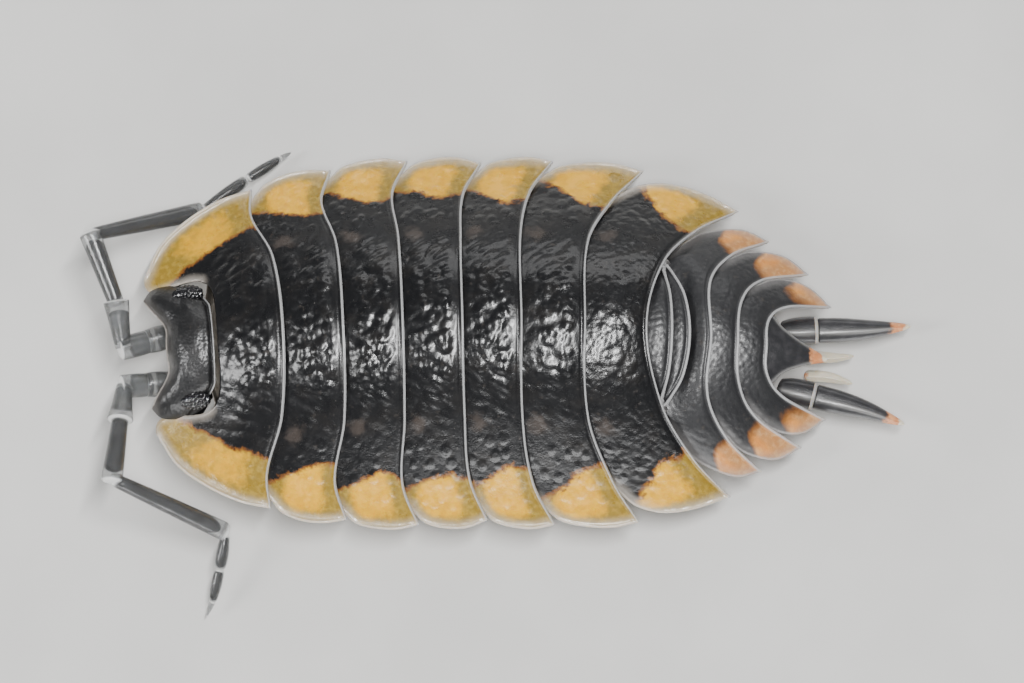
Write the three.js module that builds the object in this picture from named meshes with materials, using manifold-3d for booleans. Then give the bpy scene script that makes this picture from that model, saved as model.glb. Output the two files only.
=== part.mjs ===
import * as THREE from 'three';
import { mergeVertices } from 'three/addons/utils/BufferGeometryUtils.js';
import Module from 'manifold-3d';

// A woodlouse at life size, standing on its fourteen legs.
// Millimetres, +Z up, floor at z = 0, head towards -X, the animal's right side at +Y.
// The body is drawn straight along X first, then bowed sideways as the living one holds itself.

const wasm = await Module();
wasm.setup();

// Driving dimensions of the whole body
const GAP = 0.3;
const PLATE_THICKNESS = 0.5;
const RIM_ROUNDING = 0.1;
const SHINGLE_STEP = 0.35;
const LIP_DEPTH = 0.45;
const SHORT_LIP_DEPTH = 0.25;
const KNEE_DROP = 0.27;
const LAP = GAP * Math.SQRT2 - SHINGLE_STEP;
const ARCH_POWER = 1.5;
const BOW = 0.0055;
const BOW_CENTRE = -1;
const SKEW = 0.0075;
const SKEW_CENTRE = 1.5;

// A smooth curve through a few values, carried on straight past both ends.
function through(places, values) {
  const last = places.length - 1;
  const slopes = values.map((_, i) => {
    const a = Math.max(i - 1, 0);
    const b = Math.min(i + 1, last);
    return (values[b] - values[a]) / (places[b] - places[a]);
  });
  return (place) => {
    if (place <= places[0]) return values[0] + slopes[0] * (place - places[0]);
    if (place >= places[last]) return values[last] + slopes[last] * (place - places[last]);
    const i = places.findIndex((p) => p > place) - 1;
    const span = places[i + 1] - places[i];
    const s = (place - places[i]) / span;
    const rise = values[i + 1] - values[i];
    const a = slopes[i] * span - rise;
    const b = rise - slopes[i + 1] * span;
    return values[i] + rise * s + s * (1 - s) * (a * (1 - s) + b * s);
  };
}

// The back as one low vault: height along the midline, height of the flared rim,
// half width, and the belly between the legs.
const apexHeight = through([-10.6, -8, -4, -1, 2, 4, 6, 8, 9.4],
  [2.5, 3.65, 4.3, 4.45, 4.3, 3.85, 3.1, 2.15, 1.4]);
const rimHeight = through([-11, -8, -4, 2, 5, 7, 9, 11],
  [1.95, 1.65, 1.5, 1.45, 1.3, 1.12, 0.98, 0.85]);
const halfWidth = through([-11, -10, -9, -8, -6, -4, 0, 3, 5, 6.5, 8, 9],
  [2.3, 3.5, 4.2, 4.85, 5.35, 5.6, 5.68, 5.5, 5.05, 4.25, 3.1, 2]);
const bellyHeight = through([-10, -6, 3, 6, 8, 9], [1.8, 2, 2, 1.75, 1.5, 1.3]);
const bellyHalfWidth = through([-9, -7, 3, 5, 7, 9], [2.2, 3, 3, 2.3, 1.5, 1]);

function backHeight(x, y) {
  const u = Math.min(Math.abs(y) / halfWidth(x), 1);
  const rim = rimHeight(x);
  return rim + (apexHeight(x) - rim) * (1 - u * u) ** ARCH_POWER;
}

// The sideways bow of the resting animal: the midline drifts to its left at both ends,
// and the front plates are turned a little against the rear ones.
function bowed(x, y, z) {
  const turned = x + y * SKEW * (x - SKEW_CENTRE);
  return new THREE.Vector3(turned, y - BOW * (x - BOW_CENTRE) ** 2, z);
}

// A closed skin over a row of like rings, with both ends filled flat.
function lofted(rings) {
  const count = rings[0].length;
  const faces = [];
  for (let ring = 0; ring + 1 < rings.length; ring++) {
    for (let i = 0; i < count; i++) {
      const a = ring * count + i;
      const b = ring * count + (i + 1) % count;
      faces.push(a, b, b + count, a, b + count, a + count);
    }
  }
  const start = endFaces(rings[0]);
  const end = endFaces(rings.at(-1));
  const offset = (rings.length - 1) * count;
  for (const [a, b, c] of start) faces.push(a, c, b);
  for (const [a, b, c] of end) faces.push(a + offset, b + offset, c + offset);
  return closedGeometry(rings.flat(), faces);
}

// Triangles that fill one ring, wound the way the ring runs. Points in a straight line are
// told apart by a tiny nudge, so that none is passed over.
const NUDGE = 1e-6;

function endFaces(ring) {
  const normal = new THREE.Vector3();
  ring.forEach((p, i) => normal.add(p.clone().cross(ring[(i + 1) % ring.length])));
  normal.normalize();
  const across = new THREE.Vector3(normal.y, normal.z, normal.x).cross(normal).normalize();
  const along = normal.clone().cross(across);
  const flat = ring.map((p, i) => new THREE.Vector2(p.dot(across), p.dot(along) + NUDGE * i * i));
  const area = ([a, b, c]) => THREE.ShapeUtils.area([flat[a], flat[b], flat[c]]);
  return THREE.ShapeUtils.triangulateShape(flat, [])
    .map((face) => (area(face) * THREE.ShapeUtils.area(flat) > 0 ? face : [face[0], face[2], face[1]]));
}

function closedGeometry(points, faces) {
  const volume = faces.reduce((sum, _, i) => {
    if (i % 3) return sum;
    return sum + points[faces[i]].dot(points[faces[i + 1]].clone().cross(points[faces[i + 2]]));
  }, 0);
  const geometry = new THREE.BufferGeometry();
  geometry.setAttribute('position', new THREE.Float32BufferAttribute(points.flatMap((p) => p.toArray()), 3));
  geometry.setIndex(volume > 0 ? faces : faces.toReversed());
  geometry.computeVertexNormals();
  return geometry;
}

function toSolid(geometry) {
  const bare = new THREE.BufferGeometry();
  bare.setAttribute('position', geometry.getAttribute('position').clone());
  bare.setIndex(geometry.getIndex());
  const merged = mergeVertices(bare, 1e-4);
  return new wasm.Manifold(new wasm.Mesh({
    numProp: 3,
    vertProperties: new Float32Array(merged.getAttribute('position').array),
    triVerts: new Uint32Array(merged.getIndex().array),
  }));
}

function toGeometry(solid) {
  const largest = solid.decompose().reduce((a, b) => (a.volume() > b.volume() ? a : b));
  const mesh = largest.getMesh();
  const geometry = new THREE.BufferGeometry();
  geometry.setAttribute('position', new THREE.BufferAttribute(mesh.vertProperties, 3));
  geometry.setIndex(new THREE.BufferAttribute(mesh.triVerts, 1));
  geometry.computeVertexNormals();
  return geometry;
}

function joined(geometries) {
  return toGeometry(geometries.map(toSolid).reduce((whole, piece) => whole.add(piece)));
}

const SHELL = material('#1d1d1f', 0.3);
const RIM_SHELL = material('#2a2724', 0.35);
const EYE = material('#0b0b0c', 0.15);
const HORN = material('#8d8a86', 0.4);
const LIMB = material('#8a8378', 0.45);
const TAIL = material('#c08a60', 0.4);

const SIDES = [-1, 1];
const sideName = (side) => (side < 0 ? 'left' : 'right');

function material(color, roughness) {
  return new THREE.MeshStandardMaterial({ color, roughness, metalness: 0 });
}

const woodlouse = new THREE.Group();

function add(name, geometry, look) {
  const mesh = new THREE.Mesh(geometry, look);
  mesh.name = name;
  woodlouse.add(mesh);
}

// Back plates
// Each is a saddle that laps over the one behind it. rear is where its rear edge crosses the
// midline, sweep how far that edge lies behind there at 0, 0.5, 0.8 and 1 of the half width,
// and width the half width from the front edge to the rear corner.
const ACROSS = [0, 0.22, 0.42, 0.58, 0.7, 0.8, 0.88, 0.95, 1];
const ALONG = [0, 0.15, 0.4, 0.7, 1];
const UNDER = [1, 0.5, 0];

const PEREONITES = [
  { rear: -6.93, sweep: [0, -0.2, -0.77, -0.75], width: [2.5, 3.24, 4.02, 4.58, 4.87], notched: true },
  { rear: -5.16, sweep: [0, -0.1, -0.5, -0.22], width: [4.56, 4.98, 5.27, 5.38, 5.32] },
  { rear: -3.41, sweep: [0, -0.05, -0.2, 0.24], width: [5.1, 5.42, 5.6, 5.66, 5.54] },
  { rear: -1.66, sweep: [0, 0, 0.1, 0.61], width: [5.15, 5.46, 5.64, 5.66, 5.44] },
  { rear: 0.07, sweep: [0, 0, 0.29, 0.95], width: [5.1, 5.44, 5.62, 5.68, 5.54] },
  { rear: 1.93, sweep: [0, 0.1, 0.85, 1.69], width: [5.1, 5.4, 5.55, 5.56, 5.35] },
  { rear: 3.73, sweep: [0, 0.5, 1.5, 2.66], width: [4.55, 4.88, 5.02, 4.81, 4.35] },
];
const PLEONITES = [
  { rear: 4.45, sweep: [0, -0.03, -0.08, -0.12], width: [1.25, 1.25, 1.25, 1.25, 1.25],
    lip: SHORT_LIP_DEPTH, flared: false },
  { rear: 5.01, sweep: [0, -0.05, -0.14, -0.22], width: [1.5, 1.5, 1.5, 1.5, 1.5],
    lip: SHORT_LIP_DEPTH, flared: false },
  { rear: 5.66, sweep: [0, -0.05, 0.6, 1.66], width: [3.1, 3.42, 3.66, 3.76, 3.5] },
  { rear: 6.46, sweep: [0, 0.1, 0.7, 2.04], width: [2.75, 3.0, 3.13, 3.08, 2.63] },
  { rear: 7.32, sweep: [0, 0.06, 0.6, 1.88], width: [2.05, 2.24, 2.34, 2.2, 1.7] },
];
const NOTCH_LEAN = 0.1;
const TELSON = { rear: 9.1, sweep: [0, 0, 0, 0], width: [1.1, 1, 0.62, 0.3, 0.12] };

function rearEdge({ rear, sweep, width }) {
  const offset = through([0, 0.5, 0.8, 1], sweep);
  return (y) => rear + offset(Math.abs(y) / width.at(-1));
}

// How much longer a slanting edge makes a distance that is measured along X.
function slant(edge, y) {
  const step = 0.02;
  return Math.hypot(1, (edge(y + step) - edge(y - step)) / (2 * step));
}

function behind(edges) {
  return (y) => Math.max(...edges.map((edge) => edge(y) + LAP * slant(edge, y)));
}

function plate({ front, rear, width, lipBefore = LIP_DEPTH, lip = LIP_DEPTH, flared = true, notched = false }) {
  const frontLip = notched ? NOTCH_LEAN : lipBefore + LAP - GAP;
  const half = through(ALONG, width);
  const columns = [...ACROSS.slice(1).map((u) => -u).reverse(), ...ACROSS];
  return lofted(columns.map((t) => {
    const xFront = front(t * half(0));
    const xRear = rear(t * half(1));
    const rounding = RIM_ROUNDING * Math.abs(t) ** 12;
    const frontInset = frontLip * (notched ? 1 : slant(front, t * half(0)));
    const rearInset = lip * slant(rear, t * half(1));
    const topAt = (v, share) => {
      const x = front(share * half(0)) * (1 - v) + rear(share * half(1)) * v;
      return backHeight(x, share * half(v)) - SHINGLE_STEP * (1 - v) ** 2;
    };
    const top = ALONG.map((v) => bowed(xFront + (xRear - xFront) * v, t * half(v), topAt(v, t) - rounding));
    const under = UNDER.map((v) => {
      const x = (xFront - frontInset) * (1 - v) + (xRear - rearInset) * v;
      const y = t * half(v);
      const belly = flared ? Math.min(bellyHalfWidth(x), 0.6 * half(v)) : half(v);
      const outward = flared ? THREE.MathUtils.clamp((Math.abs(y) - belly) / (half(v) - belly), 0, 1) : 0;
      const slope = THREE.MathUtils.lerp(bellyHeight(x), topAt(v, 1) - PLATE_THICKNESS, outward);
      return bowed(x, y, Math.min(slope, topAt(v, t) - PLATE_THICKNESS) + rounding);
    });
    const rearKnee = bowed(xRear - rearInset, t * half(1), topAt(1, t) - rounding - Math.min(lip, KNEE_DROP));
    const frontKnee = bowed(xFront - frontInset, t * half(0), topAt(0, t) - rounding - frontLip);
    return [...top, rearKnee, ...under, frontKnee];
  }));
}

// Head
// A broad, low block under the first plate's front, with a lobe on each side of its front edge.
const HEAD_FRONT = -10.42;
const HEAD_REAR = -9.02;
const HEAD_HALF_WIDTH = [1.72, 1.9, 1.88, 1.76, 1.62];
const HEAD_LOBE = 0.48;
const HEAD_LOBE_AT = 1.5;
const HEAD_CROWN = [2.42, 2.85, 3.12, 3.2, 3.12];
const HEAD_SIDE_HEIGHT = 2.05;
const HEAD_UNDERSIDE = 1.62;
const FACE_SLOPE = 0.42;

function headFront(y) {
  return HEAD_FRONT - HEAD_LOBE * Math.exp(-(((Math.abs(y) - HEAD_LOBE_AT) / 0.34) ** 2));
}

function headRear(y) {
  return HEAD_REAR - 0.1 * (y / HEAD_HALF_WIDTH.at(-1)) ** 2;
}

function headGeometry() {
  const half = through(ALONG, HEAD_HALF_WIDTH);
  const crown = through(ALONG, HEAD_CROWN);
  const columns = [...ACROSS.slice(1).map((u) => -u).reverse(), ...ACROSS];
  const skin = lofted(columns.map((t) => {
    const side = (1 - t * t) ** 0.75;
    const at = (v, slope) => {
      const x = (headFront(t * half(0)) + slope) * (1 - v) + headRear(t * half(1)) * v;
      return [x, t * half(v)];
    };
    const top = ALONG.map((v) => bowed(...at(v, 0),
      HEAD_SIDE_HEIGHT + (crown(v) - HEAD_SIDE_HEIGHT) * side));
    const under = UNDER.map((v) => bowed(...at(v, FACE_SLOPE), HEAD_UNDERSIDE + 0.2 * Math.abs(t) ** 4));
    return [...top, ...under];
  }));
  return SIDES.reduce((solid, side) => solid.subtract(toSolid(eyeBall(side, EYE_GAP))), toSolid(skin));
}

// Eyes
// Each is a bulging oval patch of facets, set in a shallow hollow at the side of the head.
const EYE_CENTRE = { x: -9.72, y: 1.46, z: 2.62 };
const EYE_RADII = { x: 0.4, y: 0.28, z: 0.26 };
const EYE_GAP = 0.2;

function eyeBall(side, growth) {
  const ball = new THREE.SphereGeometry(1, 12, 8);
  const centre = bowed(EYE_CENTRE.x, side * EYE_CENTRE.y, EYE_CENTRE.z);
  ball.scale(EYE_RADII.x + growth, EYE_RADII.y + growth, EYE_RADII.z + growth);
  ball.translate(centre.x, centre.y, centre.z);
  return ball;
}

add('head', toGeometry(headGeometry()), SHELL);
SIDES.forEach((side) => add(`eye_${sideName(side)}`, eyeBall(side, 0), EYE));

// The first plate reaches forward along both sides of the head as a pair of wings.
const WING_TIP = -10.95;
const WING_ROOT_SHARE = 0.8;
const WING_FACE_SHARE = 0.88;
const WING_ROUNDING = 0.12;

function firstFront(y) {
  const share = Math.abs(y) / PEREONITES[0].width[0];
  const forward = THREE.MathUtils.clamp((share - WING_ROOT_SHARE) / (WING_FACE_SHARE - WING_ROOT_SHARE), 0, 1);
  const blunt = Math.max(share - WING_FACE_SHARE, 0) / (1 - WING_FACE_SHARE);
  const neck = headRear(Math.min(Math.abs(y), 1.6)) + GAP;
  return neck + (WING_TIP - neck) * forward + WING_ROUNDING * blunt ** 2;
}

const plates = [...PEREONITES, ...PLEONITES];
const edges = plates.map(rearEdge);
const lastPereonite = PEREONITES.length - 1;
plates.forEach((shape, i) => {
  const before = i === 0 ? firstFront : behind(i - 2 > lastPereonite && i - 3 <= lastPereonite
    ? [edges[i - 1], edges[lastPereonite]] : [edges[i - 1]]);
  const pleon = i > lastPereonite;
  const name = pleon ? `pleonite_${i - lastPereonite}` : `pereonite_${i + 1}`;
  const lipBefore = plates[i - 1]?.lip;
  add(name, plate({ ...shape, front: before, rear: edges[i], lipBefore }), pleon ? RIM_SHELL : SHELL);
});
add('telson', plate({ front: behind([edges.at(-1)]), rear: rearEdge(TELSON), width: TELSON.width }), TAIL);

// Limbs
// One article of a limb is a spindle between two joints, which may swell in the middle and is cut
// off flat at both ends. startLevel and endLevel slope an end face to lie along what it meets.
const JOINT_OVERLAP = 0.12;

function article(from, to, { start, middle, end, sides = 7, startLevel = null, endLevel = null, flat = 1 }) {
  const direction = to.clone().sub(from).normalize();
  const across = new THREE.Vector3(0, 0, 1).cross(direction);
  if (across.lengthSq() < 0.01) across.set(1, 0, 0);
  across.normalize();
  const upward = direction.clone().cross(across);
  const ring = (place, radius, level) => Array.from({ length: sides }, (_, i) => {
    const turn = (i / sides) * Math.PI * 2;
    const out = across.clone().multiplyScalar(Math.cos(turn) * radius)
      .addScaledVector(upward, Math.sin(turn) * radius * flat);
    if (level) out.addScaledVector(direction, -out.dot(level) / direction.dot(level));
    return place.clone().add(out);
  });
  const swelling = middle ? [ring(from.clone().lerp(to, 0.5), middle, null)] : [];
  return lofted([ring(from, start, startLevel), ...swelling, ring(to, end, endLevel)]);
}

// A chain of articles joined in one piece: each but the last runs a little past its joint.
function chain(joints, radii, options = {}) {
  const pieces = radii.map(([start, middle, end], i) => {
    const from = joints[i].clone();
    const to = joints[i + 1].clone();
    const direction = to.clone().sub(from).normalize();
    if (i > 0) from.addScaledVector(direction, -JOINT_OVERLAP);
    if (i < radii.length - 1) to.addScaledVector(direction, JOINT_OVERLAP);
    return article(from, to, { start, middle, end, ...options,
      startLevel: i === 0 ? options.startLevel : null,
      endLevel: i === radii.length - 1 ? options.endLevel : null });
  });
  return pieces.length > 1 ? joined(pieces) : pieces[0];
}

// Antennae
// A short stout base under the front of the head, two articles to the knee, a long fifth article
// and a flagellum of two. The left one is swung back, the right one lies along the first plate.
const FEELER_HALF = 0.26;
const antennae = {
  left: {
    stem: [[-10.38, -1.31, 1.6], [-10.95, -1.38, 1.75], [-11.7, -1.5, 2.05], [-11.78, -2.5, 2.35],
      [-11.98, -4.4, 2.6], [-8.72, -5.72, 1.25]],
    lash: [[-8.56, -6.09, 1.1], [-8.88, -6.78, 0.85], [-9.1, -7.7, 0.5], [-9.27, -8.08, 0.34]],
  },
  right: {
    stem: [[-10.38, 0.15, 1.6], [-10.95, -0.05, 1.75], [-11.75, -0.34, 2.0], [-11.95, 0.94, 2.3],
      [-12.75, 3.0, 2.5], [-9.55, 4.12, 0.95]],
    lash: [[-9.18, 4.36, 0.82], [-8.2, 5.2, 0.6], [-7.2, 5.9, 0.42], [-6.9, 6.1, 0.34]],
  },
};
const STEM_RADII = [
  [0.34, 0.38, 0.36], [0.34, 0.36, 0.32], [0.28, 0.36, 0.4], [0.26, 0.32, 0.3],
  [FEELER_HALF, 0.28, 0.25],
];
const LASH_RADII = [[0.24, 0.26, 0.24], [0.22, 0.23, 0.19], [0.15, 0.12, 0.05]];

for (const [side, { stem, lash }] of Object.entries(antennae)) {
  const joints = stem.map((place) => new THREE.Vector3(...place));
  const tips = lash.map((place) => new THREE.Vector3(...place));
  add(`antenna_${side}`, chain(joints, STEM_RADII), HORN);
  add(`antenna_${side}_flagellum`, chain(tips, LASH_RADII), HORN);
}

// Legs
// Seven pairs. Each hangs from the belly under its plate, runs in towards the midline, turns at
// the knee and stands out again to a small flat foot under the rim of the back.
const DOWN = new THREE.Vector3(0, 0, 1);
const LEG_TOP = 1.7;
const LEG_ROOT = 2.62;
const LEGS = [
  { root: -8.3, reach: -1.35, foot: 3.35, knee: -0.5 },
  { root: -6.45, reach: -0.85, foot: 4.45, knee: 0.5 },
  { root: -4.55, reach: -0.45, foot: 4.7, knee: 0.5 },
  { root: -2.75, reach: 0.1, foot: 4.75, knee: -0.5 },
  { root: -0.95, reach: 0.5, foot: 4.75, knee: -0.5 },
  { root: 0.95, reach: 0.9, foot: 4.6, knee: -0.5 },
  { root: 2.95, reach: 1.35, foot: 4.0, knee: -0.5 },
];
const LEG_SIDES = 6;
const LEG_RADII = [[0.25, 0, 0.28], [0.24, 0, 0.28], [0.25, 0, 0.29], [0.25, 0, 0.27], [0.25, 0, 0.19]];

function legJoints({ root, reach, foot, knee }, side) {
  const spread = foot - LEG_ROOT;
  const joints = [
    [root, LEG_ROOT, LEG_TOP],
    [root + knee, LEG_ROOT - 0.95, 1.12],
    [root + 0.12 * reach + 0.25 * knee, LEG_ROOT + 0.02 * spread, 0.82],
    [root + 0.42 * reach, LEG_ROOT + 0.42 * spread, 1.0],
    [root + 0.78 * reach, LEG_ROOT + 0.76 * spread, 0.62],
    [root + reach, LEG_ROOT + spread, 0],
  ];
  return joints.map(([x, y, z]) => bowed(x, side * y, z));
}

for (const side of SIDES) {
  LEGS.forEach((leg, i) => {
    const options = { sides: LEG_SIDES, startLevel: DOWN, endLevel: DOWN };
    const geometry = chain(legJoints(leg, side), LEG_RADII, options);
    add(`leg_${sideName(side)}_${i + 1}`, geometry, LIMB);
  });
}

// Mouthparts
// The closed pair of jaw feet that covers the mouth, under the head.
const MOUTH = { front: -10.1, rear: -9.1, half: 0.62, top: 1.3, thickness: 0.5 };

function mouthGeometry() {
  const rings = [-1, -0.7, 0, 0.7, 1].map((t) => {
    const y = t * MOUTH.half;
    const bulge = 1 - 0.5 * t * t;
    const low = MOUTH.top - MOUTH.thickness * bulge;
    return [
      bowed(MOUTH.front + 0.25 * t * t, y, MOUTH.top), bowed(MOUTH.rear, y, MOUTH.top),
      bowed(MOUTH.rear - 0.1, y, low), bowed(MOUTH.front + 0.4, y, low),
    ];
  });
  return lofted(rings);
}

add('mouthparts', mouthGeometry(), HORN);

// Pleopods
// Five pairs of breathing flaps under the tail, each lapping over the next.
const FLAP_COUNT = 5;
const FLAP = { first: 3.95, step: 0.78, inner: 0.16, outer: 1.35, top: 1.3, thickness: 0.34, tread: 0.14 };

function pleopodGeometry(side) {
  return lofted([0, 0.15, 0.5, 0.85, 1].map((t) => {
    const fullness = 1 - 0.5 * (2 * t - 1) ** 2;
    const rear = FLAP.first + FLAP.step * FLAP_COUNT;
    const width = FLAP.outer - FLAP.inner;
    const at = (x, z) => {
      const narrowing = 1 - 0.35 * (x - FLAP.first) / (rear - FLAP.first);
      return bowed(x, side * (FLAP.inner + t * width * narrowing), z);
    };
    const lower = Array.from({ length: FLAP_COUNT }, (_, i) => {
      const start = FLAP.first + i * FLAP.step;
      const low = FLAP.top - FLAP.thickness * fullness;
      return [at(start, low), at(start + FLAP.step - 0.06, low - FLAP.tread * fullness)];
    });
    return [at(rear - 0.1, FLAP.top - 0.1), at(FLAP.first, FLAP.top), ...lower.flat()];
  }));
}

SIDES.forEach((side) => add(`pleopods_${sideName(side)}`, pleopodGeometry(side), HORN));

// Uropods
// The tail feet: a short block on each side of the telson carries a long outer blade that ends in
// a point, and a slender inner one that shows from under the telson.
const UROPOD = {
  block: [[8.0, 0.9, 0.86], [8.78, 1.0, 0.84]],
  blade: [[9.08, 1.0, 0.84], [10.3, 1.22, 0.8], [11.52, 1.5, 0.72]],
  inner: [[8.5, 0.42, 0.42], [9.9, 0.42, 0.5]],
};

function uropodPart(places, side, radii, options) {
  return chain(places.map(([x, y, z]) => bowed(x, side * y, z)), radii, options);
}

for (const side of SIDES) {
  const name = `uropod_${sideName(side)}`;
  add(`${name}_protopod`, uropodPart(UROPOD.block, side, [[0.22, 0.27, 0.27]]), TAIL);
  add(`${name}_exopod`, uropodPart(UROPOD.blade, side, [[0.26, 0.33, 0.28], [0.3, 0.22, 0.05]]), TAIL);
  add(`${name}_endopod`, uropodPart(UROPOD.inner, side, [[0.2, 0.23, 0.12]]), TAIL);
}

// The animal stands with the middle of its outline over the origin.
woodlouse.updateMatrixWorld();
const box = new THREE.Box3().setFromObject(woodlouse);
const centre = box.getCenter(new THREE.Vector3());
woodlouse.position.set(-centre.x, -centre.y, 0);

export default woodlouse;
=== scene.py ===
import math

import bmesh
import bpy
import numpy as np
from mathutils import Matrix, Vector


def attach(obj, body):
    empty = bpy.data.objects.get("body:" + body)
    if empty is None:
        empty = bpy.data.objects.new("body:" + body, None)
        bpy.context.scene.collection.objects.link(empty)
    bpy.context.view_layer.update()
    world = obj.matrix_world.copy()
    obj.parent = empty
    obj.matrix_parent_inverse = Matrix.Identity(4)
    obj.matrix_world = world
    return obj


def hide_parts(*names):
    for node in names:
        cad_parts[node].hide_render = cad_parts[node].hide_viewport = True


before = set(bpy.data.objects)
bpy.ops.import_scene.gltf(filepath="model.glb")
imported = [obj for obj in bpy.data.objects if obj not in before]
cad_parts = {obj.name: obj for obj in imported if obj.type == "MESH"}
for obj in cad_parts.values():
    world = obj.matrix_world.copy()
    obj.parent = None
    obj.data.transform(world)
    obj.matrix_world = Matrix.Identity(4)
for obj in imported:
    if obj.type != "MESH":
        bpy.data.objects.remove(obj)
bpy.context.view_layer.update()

# The back is one low vault with a flared rim, of seven plates over the trunk and five over the tail.
# Each is a single sheet of hardened chitin, grown in place. Soft skin hinges it to the next plate,
# and its rear edge laps over that plate's front.
#
# Places are in millimetres along a straight body, head towards -X and its right side at +Y. The body
# is then bowed a little to its left, as a living one rests. ZERO is the straight body's own zero.
MM = 0.001
ZERO = (0.7173, 0.9820)
BOW = 0.0055
BOW_CENTRE = -1.0
SKEW = 0.0075
SKEW_CENTRE = 1.5


def bowed(x, y, z):
    """Places of the straight body, in millimetres, as places of the frame, in metres."""
    along = x + y * SKEW * (x - SKEW_CENTRE) + ZERO[0]
    across = y - BOW * (x - BOW_CENTRE) ** 2 + ZERO[1]
    return np.stack([along, across, z + 0 * x], axis=-1) * MM


def through(places, values):
    """A smooth curve through a few values, carried on straight past both ends."""
    places, values = np.array(places, float), np.array(values, float)
    last = len(places) - 1
    low = np.maximum(np.arange(last + 1) - 1, 0)
    high = np.minimum(np.arange(last + 1) + 1, last)
    slopes = (values[high] - values[low]) / (places[high] - places[low])

    def curve(place):
        place = np.asarray(place, float)
        inside = np.clip(place, places[0], places[last])
        i = np.clip(np.searchsorted(places, inside, side="right") - 1, 0, last - 1)
        span = places[i + 1] - places[i]
        s = (inside - places[i]) / span
        rise = values[i + 1] - values[i]
        a, b = slopes[i] * span - rise, rise - slopes[i + 1] * span
        on_curve = values[i] + rise * s + s * (1 - s) * (a * (1 - s) + b * s)
        beyond = np.where(place < inside, slopes[0], slopes[last]) * (place - inside)
        return on_curve + beyond

    return curve


apex_height = through([-10.6, -8, -4, -1, 2, 4, 6, 8, 9.4],
                      [2.5, 3.65, 4.3, 4.45, 4.3, 3.85, 3.1, 2.15, 1.4])
rim_height = through([-11, -8, -4, 2, 5, 7, 9, 11],
                     [1.95, 1.65, 1.5, 1.45, 1.3, 1.12, 0.98, 0.85])
half_width = through([-11, -10, -9, -8, -6, -4, 0, 3, 5, 6.5, 8, 9],
                     [2.3, 3.5, 4.2, 4.85, 5.35, 5.6, 5.68, 5.5, 5.05, 4.25, 3.1, 2])
ARCH_POWER = 1.5


def back_height(x, y):
    """The vault's own height over the floor, before the plates are cut."""
    outward = np.minimum(np.abs(y) / half_width(x), 1)
    rim = rim_height(x)
    return rim + (apex_height(x) - rim) * (1 - outward ** 2) ** ARCH_POWER


# Each plate has its rear edge's place on the midline, how far that edge sweeps back towards the rim,
# its half width from front to rear, and how far out its coloured patch begins, from front to rear.
ALONG = [0, 0.15, 0.4, 0.7, 1]
SWEEP_AT = [-0.5, 0, 0.5, 0.8, 1]
PATCH_AT = [0, 0.33, 0.66, 1]
HEAD_REAR = -8.9
PEREONITES = [
    dict(rear=-6.93, sweep=[0, -0.2, -0.77, -0.75], width=[2.32, 3.28, 4.02, 4.58, 4.87],
         patch=[1.4, 2.45, 2.85, 3.1, 3.4, 3.5], rough=0.8, knob=0.6, underlap=0),
    dict(rear=-5.16, sweep=[0, -0.1, -0.5, -0.22], width=[4.56, 4.98, 5.27, 5.38, 5.32],
         patch=[4.05, 3.88, 3.72, 3.8], scar=1),
    dict(rear=-3.41, sweep=[0, -0.05, -0.2, 0.24], width=[5.1, 5.42, 5.6, 5.66, 5.54],
         patch=[4.45, 4.3, 4.02, 4.25], scar=1),
    dict(rear=-1.66, sweep=[0, 0, 0.1, 0.61], width=[5.15, 5.46, 5.64, 5.66, 5.44],
         patch=[4.52, 4.35, 4.15, 4.3], scar=1),
    dict(rear=0.07, sweep=[0, 0, 0.29, 0.95], width=[5.1, 5.44, 5.62, 5.68, 5.54],
         patch=[4.45, 4.27, 3.95, 4.05], rough=0.9, scar=1),
    dict(rear=1.93, sweep=[0, 0.1, 0.85, 1.69], width=[5.1, 5.4, 5.55, 5.56, 5.35],
         patch=[4.85, 4.55, 4.05, 3.8], rough=0.8, scar=1),
    dict(rear=3.73, sweep=[0, 0.5, 1.5, 2.66], width=[4.55, 4.88, 5.02, 4.81, 4.35],
         patch=[5.1, 4.5, 3.75, 3.2], rough=0.4, grained=0.009, scar=1),
]
PLEONITES = [
    dict(rear=4.5, sweep=[0, -0.07, -0.25, -0.45], width=[2.3] * 5, sunk=0.2),
    dict(rear=5.03, sweep=[0, -0.17, -0.55, -0.95], width=[2.4] * 5, sunk=0.24),
    dict(rear=5.66, sweep=[0, -0.05, 0.6, 1.66], width=[3.1, 3.42, 3.66, 3.76, 3.5],
         patch=[4.3, 3.9, 3.2, 2.75], step=0.5),
    dict(rear=6.46, sweep=[0, 0.1, 0.7, 2.04], width=[2.75, 3.0, 3.13, 3.08, 2.63],
         patch=[3.5, 3.2, 2.6, 2.1]),
    dict(rear=7.32, sweep=[0, 0.06, 0.6, 1.88], width=[2.05, 2.24, 2.34, 2.2, 1.7],
         patch=[2.7, 2.5, 1.95, 1.5]),
]
PLEON_SURFACE = dict(rough=0.06, grained=0.009)
WING = [(0, HEAD_REAR), (0.9, HEAD_REAR), (1.62, HEAD_REAR - 0.1), (1.96, -9.3), (1.99, -9.9),
        (1.88, -10.5), (1.94, -10.82), (2.1, -10.95), (2.32, -10.98)]
WING_PATCH_AT = [-10.9, -9.6, -9.0, -8.5, -7.9, -7.4]
SHINGLE_STEP = 0.17
UNDERLAP = 0.2
SHELL_THICKNESS = 0.11
FAR_AWAY = 9.0
NO_PATCH = 99.0


def rear_edge(shape):
    """The line of a plate's rear edge: its place along the body for each place across."""
    offset = through(SWEEP_AT, [shape["sweep"][1]] + shape["sweep"])
    return lambda y: shape["rear"] + offset(np.abs(y) / shape["width"][-1])


def smooth(low, high, value):
    """Runs smoothly from 0 at low to 1 at high."""
    s = np.clip((value - low) / (high - low), 0, 1)
    return s * s * (3 - 2 * s)


def hill(value, centre, spread, power=2):
    """1 at the centre, falling to nothing past the spread."""
    return np.exp(-((value - centre) / spread) ** power)


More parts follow.
